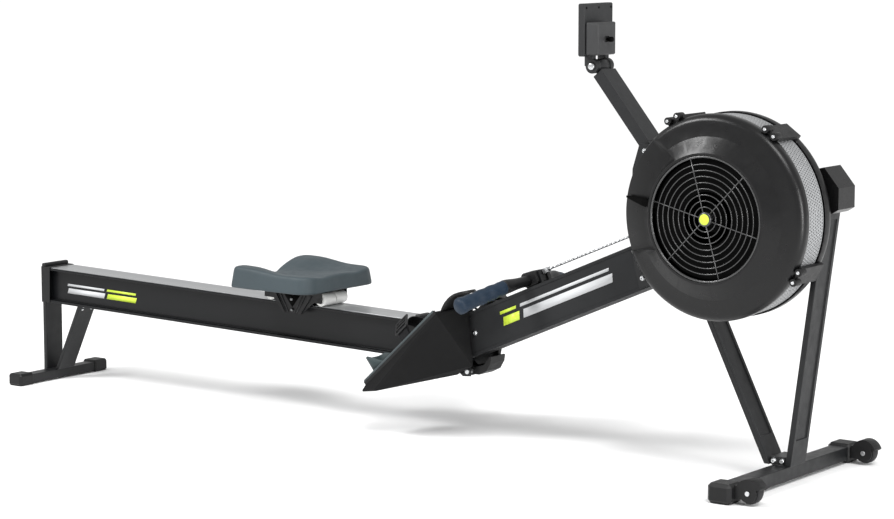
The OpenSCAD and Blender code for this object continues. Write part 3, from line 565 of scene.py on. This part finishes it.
HANDLE = Vector((0.3977, 0, 0.4056))
ARM_IN = 0.024
GRIP_IN = 0.104
GRIP_OUT = 0.246
ARM_SLOPE = (-0.194, -0.102)    # rise along x and z for each metre out
GRIP_SLOPE = (-0.266, -0.25)
GRIP_R = 0.0168
ARM_R = 0.0135
CORE_HALF = 0.031


def handle_point(out):
    """A point on the handle's centre line, so far out to the rower's right."""
    first = min(out, GRIP_IN)
    then = max(0.0, out - GRIP_IN)
    return Vector((HANDLE.x + first * ARM_SLOPE[0] + then * GRIP_SLOPE[0], -out,
                   HANDLE.z + first * ARM_SLOPE[1] + then * GRIP_SLOPE[1]))


def grip_radius(t):
    """The grip swells, waves under the fingers and ends in a round knob. t runs from 0 to 1 outwards."""
    waves = 0.0007 * math.sin(t * math.pi * 9) * smooth(0.05, 0.15, t) * (1 - smooth(0.75, 0.9, t))
    radius = GRIP_R + 0.0012 * math.sin(math.pi * t) + 0.003 * smooth(0.72, 0.93, t) + waves
    if t > 0.93:
        radius -= 0.0118 * ((t - 0.93) / 0.07) ** 2.2
    if t < 0.03:
        radius -= 0.0015 * (1 - t / 0.03)
    return radius


def arm_radius(t):
    """The arm between core and grip: waisted, thicker outwards."""
    return ARM_R + 0.0042 * smooth(0, 1, t) - 0.002 * bump(12 * t, 0, 6, 0, 4, 1)


def make_handle():
    """Two grips on arms that slope back and down from a moulded core."""
    grip, bar = Shape(), Shape()
    grip_steps = [i / 40 for i in range(41)]
    arm_steps = [i / 12 for i in range(13)]
    for place in (IDENTITY, MIRROR):
        path = [handle_point(GRIP_IN + (GRIP_OUT - GRIP_IN) * t) for t in grip_steps]
        grip.tube(path, [grip_radius(t) for t in grip_steps], 32, place)
        path = [handle_point(ARM_IN + (GRIP_IN + 0.004 - ARM_IN) * t) for t in arm_steps]
        bar.tube(path, [arm_radius(t) for t in arm_steps], 32, place)
    grip.make("grips", "grip_rubber", "handle", ["handle_grips"])
    outline = arc((0.016, 0.012), 0.006, 0, 90, 4) + arc((-0.012, 0.010), 0.010, 90, 180, 5)
    outline += arc((-0.012, -0.006), 0.010, 180, 270, 5) + arc((0.016, -0.010), 0.006, 270, 360, 4)
    bar.slab(outline, -CORE_HALF, CORE_HALF, tilted(HANDLE, CHAIN_SLOPE) @ facing_right((0, 0, 0)))
    bar.make("handle_core", "handle_plastic", "handle", ["handle_bar"], bevel=0.002)


make_handle()


# ---- fan unit ----

GRILLE_R = 0.141
GRILLE_TOP = 0.135
GRILLE_RINGS = 9
WIRE_R, RIM_WIRE_R, SPOKE_R = 0.0012, 0.0028, 0.0013
SPOKES, FIRST_SPOKE = 6, 46
HUB_R = 0.014


def make_grille():
    """Round wires, tied by six spokes, with a plain boss and a plain lime disc in the middle."""
    wires = Shape()
    pitch = (GRILLE_R - 0.020) / GRILLE_RINGS
    rim = GRILLE_R - 0.003
    for i in range(1, GRILLE_RINGS):
        ring = circle(HUB_R + i * pitch, GRILLE_TOP - 0.0015, 72)
        wires.tube(ring, WIRE_R, 8, ON_FAN, looped=True)
    wires.tube(circle(rim, GRILLE_TOP - 0.001, 72), RIM_WIRE_R, 10, ON_FAN, looped=True)
    for i in range(SPOKES):
        a = math.radians(FIRST_SPOKE + i * 360 / SPOKES)
        ray = [(r * math.cos(a), r * math.sin(a), GRILLE_TOP - 0.0002) for r in (0.010, 0.05, 0.09, rim)]
        wires.tube(ray, SPOKE_R, 8, ON_FAN)
    boss = [(NIL, 0.128), (0.015, 0.128), (0.0165, 0.130), (0.0165, 0.1345), (0.0155, 0.1362),
            (0.013, 0.137), (NIL, 0.137)]
    wires.lathe(boss, ON_FAN, 40)
    wires.make("grille_wires", "grille_wire", "frame", ["grille"], slot="cover_plastic")
    badge = [(NIL, 0.1368), (0.0118, 0.1368), (0.0122, 0.1374), (0.0115, 0.1379), (NIL, 0.1381)]
    Shape().lathe(badge, ON_FAN, 40).make("hub_disc", "lime", "frame", slot="guide_white")


BAND_LOW, BAND_HIGH = 0.0117, 0.0816
BAND_R, BAND_T = 0.2262, 0.0012
BAND_ROWS = 9
HOLE_PITCH = 0.0072
HOLE_R = 0.29                   # as a part of the pitch
CELL_CORNERS = ((0, 0), (0.5, 0), (1, 0), (1, 0.5), (1, 1), (0.5, 1), (0, 1), (0, 0.5))


def add_cell(shape, turn, low, step, height):
    """One cell of the band, from an angle and a height: a curved square with an eight-sided hole."""
    points = []
    for radius in (BAND_R, BAND_R - BAND_T):
        rim = [(turn + along * step, low + up * height) for along, up in CELL_CORNERS]
        for k in range(8):
            t = math.radians(225 + 45 * k)
            rim.append((turn + step * (0.5 + HOLE_R * math.cos(t)),
                        low + height / 2 + step * BAND_R * HOLE_R * math.sin(t)))
        points += [(radius * math.cos(a), radius * math.sin(a), h) for a, h in rim]
    faces = []
    for k in range(8):
        n = (k + 1) % 8
        faces.append((k, n, 8 + n, 8 + k))
        faces.append((24 + k, 24 + n, 16 + n, 16 + k))
        faces.append((8 + k, 8 + n, 24 + n, 24 + k))
    shape.add(points, faces, ON_FAN)


def make_band():
    """The perforated air band: rows of real holes, every second row set half a pitch along."""
    shape = Shape()
    columns = int(2 * math.pi * BAND_R / HOLE_PITCH)
    step = 2 * math.pi / columns
    height = (BAND_HIGH - BAND_LOW) / BAND_ROWS
    for row in range(BAND_ROWS):
        shift = step / 2 if row % 2 else 0
        for column in range(columns):
            add_cell(shape, column * step + shift, BAND_LOW + row * height, step, height)
    shape.make("air_band", "band_mesh", "frame", ["mesh_band"])


make_grille()
make_band()


# ---- footrests: straps, buckles and heel cups ----

STRAP_U, STRAP_WIDTH, STRAP_V, STRAP_R = 0.161, 0.034, -0.101, 0.0445
STRAP_T, TAIL_T = 0.0024, 0.002
STRAP_RISE = 0.012              # height of the arch's middle over the board
BUCKLE_ANGLE = 45               # where on the arch's outer slope the buckle sits
BUCKLE_OUT = 0.0045             # its distance outside the strap
BUCKLE_HALF = (STRAP_WIDTH / 2 + 0.004, 0.019)
BUCKLE_RIM_R, BUCKLE_BAR_R = 0.0028, 0.0021
FACE = 0.005                    # height of the board's upper side


def ribbon(shape, path, width, thickness, place):
    """A flat strip with rounded edges along a path, its width along local x."""
    across = Vector((1, 0, 0))
    half, t = width / 2, thickness / 2
    flat = half - t * 0.6
    section = [(-flat, -t), (flat, -t), (half, 0), (flat, t), (-flat, t), (-half, 0)]
    rings = []
    for i, p in enumerate(path):
        ahead, behind = path[min(i + 1, len(path) - 1)], path[max(i - 1, 0)]
        along = (Vector(ahead) - Vector(behind)).normalized()
        out = along.cross(across).normalized()
        rings.append([Vector(p) + across * a + out * b for a, b in section])
    shape.rings(rings, place)


def strap_point(u, angle, out, rise):
    """A point on an arch over the right foot: half its width, its rise, and an angle in radians."""
    return (u, STRAP_V - out * math.cos(angle), STRAP_RISE + rise * math.sin(angle))


def add_buckle(buckles, place):
    """A ladder buckle: a rim of four round bars and two bars across."""
    u, v = BUCKLE_HALF
    loop = [Vector((x, y, 0.001)) for x, y in ((-u, -v), (u, -v), (u, v), (-u, v))]
    for k in range(4):
        start, end = loop[k], loop[(k + 1) % 4]
        buckles.tube([start, start.lerp(end, 0.5), end], BUCKLE_RIM_R, 10, place)
    for y in (-0.006, 0.006):
        buckles.tube([(-u, y, 0.0022), (0, y, 0.0026), (u, y, 0.0022)], BUCKLE_BAR_R, 10, place)


def make_straps():
    """A webbing strap arched over each foot, with its loose tail and a buckle on its outer slope."""
    straps, buckles = Shape(), Shape()
    middle = STRAP_U + STRAP_WIDTH / 2
    for side in both_sides(ON_BOARD):
        arch = []
        for i in range(33):
            a = math.pi * i / 32
            arch.append(strap_point(middle, a, STRAP_R * (1 - 0.03 * math.sin(2 * a)), STRAP_R * 0.97))
        ends = [(middle, arch[k][1], FACE + 0.0005) for k in (0, -1)]
        ribbon(straps, [ends[0]] + arch + [ends[1]], STRAP_WIDTH, STRAP_T, side)
        tail = []
        for i in range(15):
            t = i / 14
            reach = STRAP_R + BUCKLE_OUT + 0.004 * t * t
            tail.append(strap_point(middle - 0.001 * t, math.radians(32 - 62 * t), reach, reach))
        tail = [p for p in tail if p[2] > FACE + 0.002]
        ribbon(straps, tail, STRAP_WIDTH - 0.003, TAIL_T, side)
        a = math.radians(BUCKLE_ANGLE)
        reach = STRAP_R + BUCKLE_OUT
        centre = Matrix.Translation(strap_point(middle, a, reach, reach))
        add_buckle(buckles, side @ centre @ Matrix.Rotation(a, 4, "X"))
    straps.make("foot_webbing", "strap_web", "frame", ["foot_straps"])
    buckles.make("ladder_buckles", "buckle_plastic", "frame", ["strap_buckles"], bevel=0.0006,
                 segments=2)


CUP_U, CUP_IN, CUP_OUT = 0.024, 0.059, 0.147
CUP_LOW = FACE + 0.0006
CUP_MIDDLE = -(CUP_IN + CUP_OUT) / 2
CUP_HALF = (CUP_OUT - CUP_IN) / 2 - 0.002
CUP_T = 0.0042                  # wall
CUP_WALL_END = 0.064            # how far up the board the wall reaches
CUP_PLATE_END = 0.1             # and the plate
HEEL_R, PLATE_R = 0.024, 0.026


def cup_wall():
    """The wall's foot line: up one side of the heel, round behind it and down the other side."""
    near, far = CUP_MIDDLE - CUP_HALF, CUP_MIDDLE + CUP_HALF
    line = [(CUP_WALL_END, near)]
    line += reversed(arc((HEEL_R + 0.002, near + HEEL_R), HEEL_R, 180, 270, 10))
    line += reversed(arc((HEEL_R + 0.002, far - HEEL_R), HEEL_R, 90, 180, 10))
    line += [(CUP_WALL_END, far)]
    fine = []
    for (u0, v0), (u1, v1) in zip(line, line[1:]):
        fine += [(CUP_U + u0 + (u1 - u0) * k / 4, v0 + (v1 - v0) * k / 4) for k in range(4)]
    return fine + [(CUP_U + line[-1][0], line[-1][1])]


def make_cup(name, node, body, place):
    """A moulded heel cup: a base plate with a curved wall round the heel that falls away forwards."""
    shape = Shape()
    line = cup_wall()
    rings = []
    for i, (u, v) in enumerate(line):
        before, after = line[max(i - 1, 0)], line[min(i + 1, len(line) - 1)]
        along = Vector((after[0] - before[0], after[1] - before[1], 0)).normalized()
        inward = Vector((-along.y, along.x, 0))
        if (Vector((CUP_U + 0.05, CUP_MIDDLE, 0)) - Vector((u, v, 0))).dot(inward) < 0:
            inward = -inward
        height = 0.004 + 0.045 * smooth(CUP_U + 0.066, CUP_U + 0.012, u)
        lean = 0.002 * height / 0.05
        section = ((0, 0), (CUP_T, 0), (0.0034 + lean, height - 0.0015), (0.0022 + lean, height),
                   (0.0006 + lean, height - 0.0014))
        rings.append([Vector((u, v, CUP_LOW + up)) + inward * into for into, up in section])
    shape.rings(rings, place)
    near, far = CUP_MIDDLE - CUP_HALF, CUP_MIDDLE + CUP_HALF
    end = CUP_U + CUP_PLATE_END
    plate = arc((CUP_U + 0.028, near + PLATE_R), PLATE_R, 180, 270, 8)
    plate += [(end - 0.002, near + 0.001), (end, near + 0.008)]
    plate += [(end, far - 0.008), (end - 0.002, far - 0.001)]
    plate += arc((CUP_U + 0.028, far - PLATE_R), PLATE_R, 90, 180, 8)
    shape.slab(plate, CUP_LOW, CUP_LOW + 0.0032, place)
    reach = CUP_HALF * 0.7
    for k in range(5):
        u = CUP_U + 0.04 + 0.011 * k
        rib = [(u, CUP_MIDDLE - reach, CUP_LOW + 0.0033), (u, CUP_MIDDLE, CUP_LOW + 0.0036),
               (u, CUP_MIDDLE + reach, CUP_LOW + 0.0033)]
        shape.tube(rib, 0.0011, 8, place)
    shape.make(name, "cup_plastic", body, [node])


def make_board_edges():
    """A rounded lip down the outer edge of each footboard, in a lighter grey: partly the lip's own grey,
    partly a painted highlight along the edge.
    """
    lip = Shape()
    path = [(0.004 + (BOARD_LENGTH - 0.008) * i / 10, -0.1508, 0.0088) for i in range(11)]
    for side in both_sides(ON_BOARD):
        lip.tube(path, 0.003, 10, side)
    lip.make("board_edges", "lip_grey_and_highlight", "frame", slot="cup_plastic")


make_straps()
make_board_edges()
for side_name, side_place in zip(("right", "left"), both_sides(ON_BOARD)):
    make_cup(side_name + "_heel_holder", "heel_cup_" + side_name, side_name + "_heel", side_place)


# ---- monitor ----

SCREEN_X, CASE_LOW, CASE_DEPTH = 0.551, 0.943, 0.018
INK = 0.0003                    # thickness of whatever is printed
SEGMENTS = {"0": "abcdef", "1": "bc", "2": "abged", "4": "fgbc", "5": "afgcd", "6": "afgedc",
            "8": "abcdefg"}
KEY_R = 0.0042


def digit(shape, value, x, y, height, place):
    """One seven-segment digit in the screen's plane: local x to the reader's right, local y up."""
    w, h, t = height * 0.5, height / 2, height * 0.09
    gap = t * 0.7
    bars = {"a": (0, 2 * h, w, 0), "b": (w, h, 0, h), "c": (w, 0, 0, h), "d": (0, 0, w, 0),
            "e": (0, 0, 0, h), "f": (0, h, 0, h), "g": (0, h, w, 0)}
    for name in SEGMENTS[value]:
        right, up, length, rise = bars[name]
        x0, y0 = x + right, y + up
        if rise:
            shape.box((x0 - t / 2, y0 + gap, 0), (x0 + t / 2, y0 + rise - gap, INK), place)
        else:
            shape.box((x0 + gap, y0 - t / 2, 0), (x0 + length - gap, y0 + t / 2, INK), place)


def make_screen_marks(face):
    """Made-up digits in two sizes, ruled lines and a row of bars."""
    ink = Shape()
    glass = face @ Matrix.Translation((0, 0, -0.0002))
    for i, value in enumerate("2048"):
        digit(ink, value, -0.043 + i * 0.013, 0.092, 0.015, glass)
    for i, value in enumerate("156"):
        digit(ink, value, 0.012 + i * 0.011, 0.094, 0.011, glass)
    for row in range(3):
        low = 0.0845 - row * 0.013
        ink.box((-0.043, low, 0), (0.043, low + 0.0004, INK), glass)
    for i in range(14):
        rise = 0.003 + 0.017 * (0.5 + 0.5 * math.sin(i * 0.9)) * math.sin(math.pi * (i + 1) / 15)
        ink.box((-0.041 + i * 0.006, 0.049, 0), (-0.037 + i * 0.006, 0.049 + rise, INK), glass)
    ink.make("screen_marks", "ink", "monitor", slot="screen_glass")


def make_monitor():
    """The display and soft keys under it, which face the rower, and the screws in the case's back."""
    face = frame_matrix((SCREEN_X - 0.0002, 0, CASE_LOW), (0, -1, 0), (0, 0, 1), (-1, 0, 0))
    make_screen_marks(face)
    keys = Shape()
    for i in range(5):
        x, y = -0.042 + 0.021 * i, 0.020
        pill = arc((x + 0.003, y), KEY_R, -90, 90, 8) + arc((x - 0.003, y), KEY_R, 90, 270, 8)
        keys.slab(pill, -0.001, 0.0012, face)
    keys.make("monitor_keys", "key_grey", "monitor", bevel=0.0006, slot="case_plastic")
    screws = Shape()
    back = frame_matrix((SCREEN_X + CASE_DEPTH, 0, CASE_LOW), (0, 1, 0), (0, 0, 1), (1, 0, 0))
    head = [(NIL, 0), (0.0026, 0), (0.0024, 0.0008), (0.0012, 0.0009), (0.001, 0.0003), (NIL, 0.0003)]
    for y, z in ((-0.052, 0.112), (0.052, 0.112), (-0.052, 0.01), (0.052, 0.01), (0, 0.112)):
        screws.lathe(head, back @ Matrix.Translation((y, z, 0)), 20)
    screws.make("case_screws", "deep_black", "monitor", slot="case_plastic")


make_monitor()


# ---- plain printed bars ----

RAIL_WEB_Y, BEAM_WEB_Y = -0.03, -0.0405
RAIL_BAR_HEIGHTS = ((-0.066, -0.052), (-0.046, -0.040))
BEAM_BAR_HEIGHTS = ((-0.010, 0.010), (0.018, 0.025))
BAR_LEAN = 0.35


def add_bar(shape, start, end, heights, place):
    """A leaning bar along local x, between two heights."""
    low, high = heights
    lean = (high - low) * BAR_LEAN
    shape.slab([(start, low), (end, low), (end + lean, high), (start + lean, high)], 0.0, INK, place)


def make_stripes():
    """A wide and a narrow bar, in silver and lime, on both sides of the rail and of the main beam."""
    lime, silver = Shape(), Shape()
    for mirrored in (IDENTITY, MIRROR):
        rail_side = mirrored @ ON_RAIL @ facing_right((0, RAIL_WEB_Y, 0))
        beam_side = mirrored @ ON_BEAM @ facing_right((0, BEAM_WEB_Y, 0))
        for heights in RAIL_BAR_HEIGHTS:
            add_bar(silver, 0.080, 0.215, heights, rail_side)
            add_bar(lime, 0.225, 0.330, heights, rail_side)
        for heights in BEAM_BAR_HEIGHTS:
            add_bar(lime, -0.185, -0.135, heights, beam_side)
            add_bar(silver, -0.122, 0.150, heights, beam_side)
    lime.make("lime_bars", "lime", "frame", slot="guide_white")
    silver.make("silver_bars", "print_silver", "frame", slot="guide_white")


make_stripes()


# ---- small fittings ----

CHEEK_Y = -0.052                # outer face of the carriage's side
CHEEK_TOP, CHEEK_FOOT = 0.023, -0.024
BRACE_FACE, BRACE_SLOPE = (-1.0838, 0, 0.2042), 60.1
TILT_PIN = (0.5729, -0.0355, 0.9199)
SOCKET = (0.6035, -0.018, 0.983)
ON_FACE = 0.0001                # just clear of the face beneath


def button(shape, radius, height, place):
    """A round head with a soft rim, standing on local z."""
    profile = [(NIL, 0), (radius, 0), (radius, height * 0.55), (radius * 0.8, height), (NIL, height)]
    shape.lathe(profile, place, 24)


def make_carriage_details():
    """Ribs, a near-black triangle of painted shade where a recess would be, and two bolts on each cheek
    of the carriage.
    """
    ribs, recess_shade, bolts = Shape(), Shape(), Shape()
    for place in both_sides(ON_SEAT @ facing_right((0, CHEEK_Y, 0))):
        for high, low in ((-0.052, -0.024), (-0.042, -0.016), (0.030, 0.003), (0.040, 0.011)):
            ribs.tube([(high, CHEEK_TOP, 0.0006), (low, CHEEK_FOOT, 0.0006)], 0.0012, 8, place)
        # A flat near-black triangle laid on the cheek: painted shade of a recess, not a hollow.
        triangle = [(-0.032, CHEEK_TOP), (-0.004, -0.010), (0.022, CHEEK_TOP)]
        recess_shade.slab(triangle, ON_FACE, 0.0005, place)
        for x, y in ((-0.006, 0.010), (-0.004, -0.017)):
            button(bolts, 0.0036, 0.004, place @ Matrix.Translation((x, y, ON_FACE)))
    ribs.make("carriage_ribs", "case_plastic", "seat", slot="carriage_metal")
    recess_shade.make("carriage_recess_shade", "deep_black", "seat", slot="carriage_metal")
    bolts.make("carriage_bolts", "key_grey", "seat", slot="bright_steel")


def make_fittings():
    """The rear brace's bolts, washers on the tilt pin and the lead's plug in the battery box."""
    brace = tilted(BRACE_FACE, math.radians(BRACE_SLOPE)) @ Matrix.Rotation(math.pi, 4, "X")
    small = Shape()
    for side in (-1, 1):
        for up in (-0.004, 0.006):
            button(small, 0.0034, 0.0025, brace @ Matrix.Translation((up, side * 0.017, ON_FACE)))
    small.make("brace_bolts", "bright_steel", "frame")
    washers = Shape()
    for place in both_sides(facing_right(TILT_PIN)):
        button(washers, 0.0088, 0.0042, place)
    washers.make("tilt_washers", "bright_steel", "monitor")
    plug = Shape()
    socket = frame_matrix(SOCKET, (0, 1, 0), (0, 0, 1), (1, 0, 0))
    plug.lathe([(NIL, 0), (0.0042, 0), (0.0042, 0.006), (0.0062, 0.008), (0.0062, 0.015),
                (0.0048, 0.0165), (NIL, 0.0165)], socket, 24)
    plug.make("lead_plug", "deep_black", "monitor", slot="black_plastic")


make_carriage_details()
make_fittings()


# ---- camera and stage ----

make_camera()
make_stage()
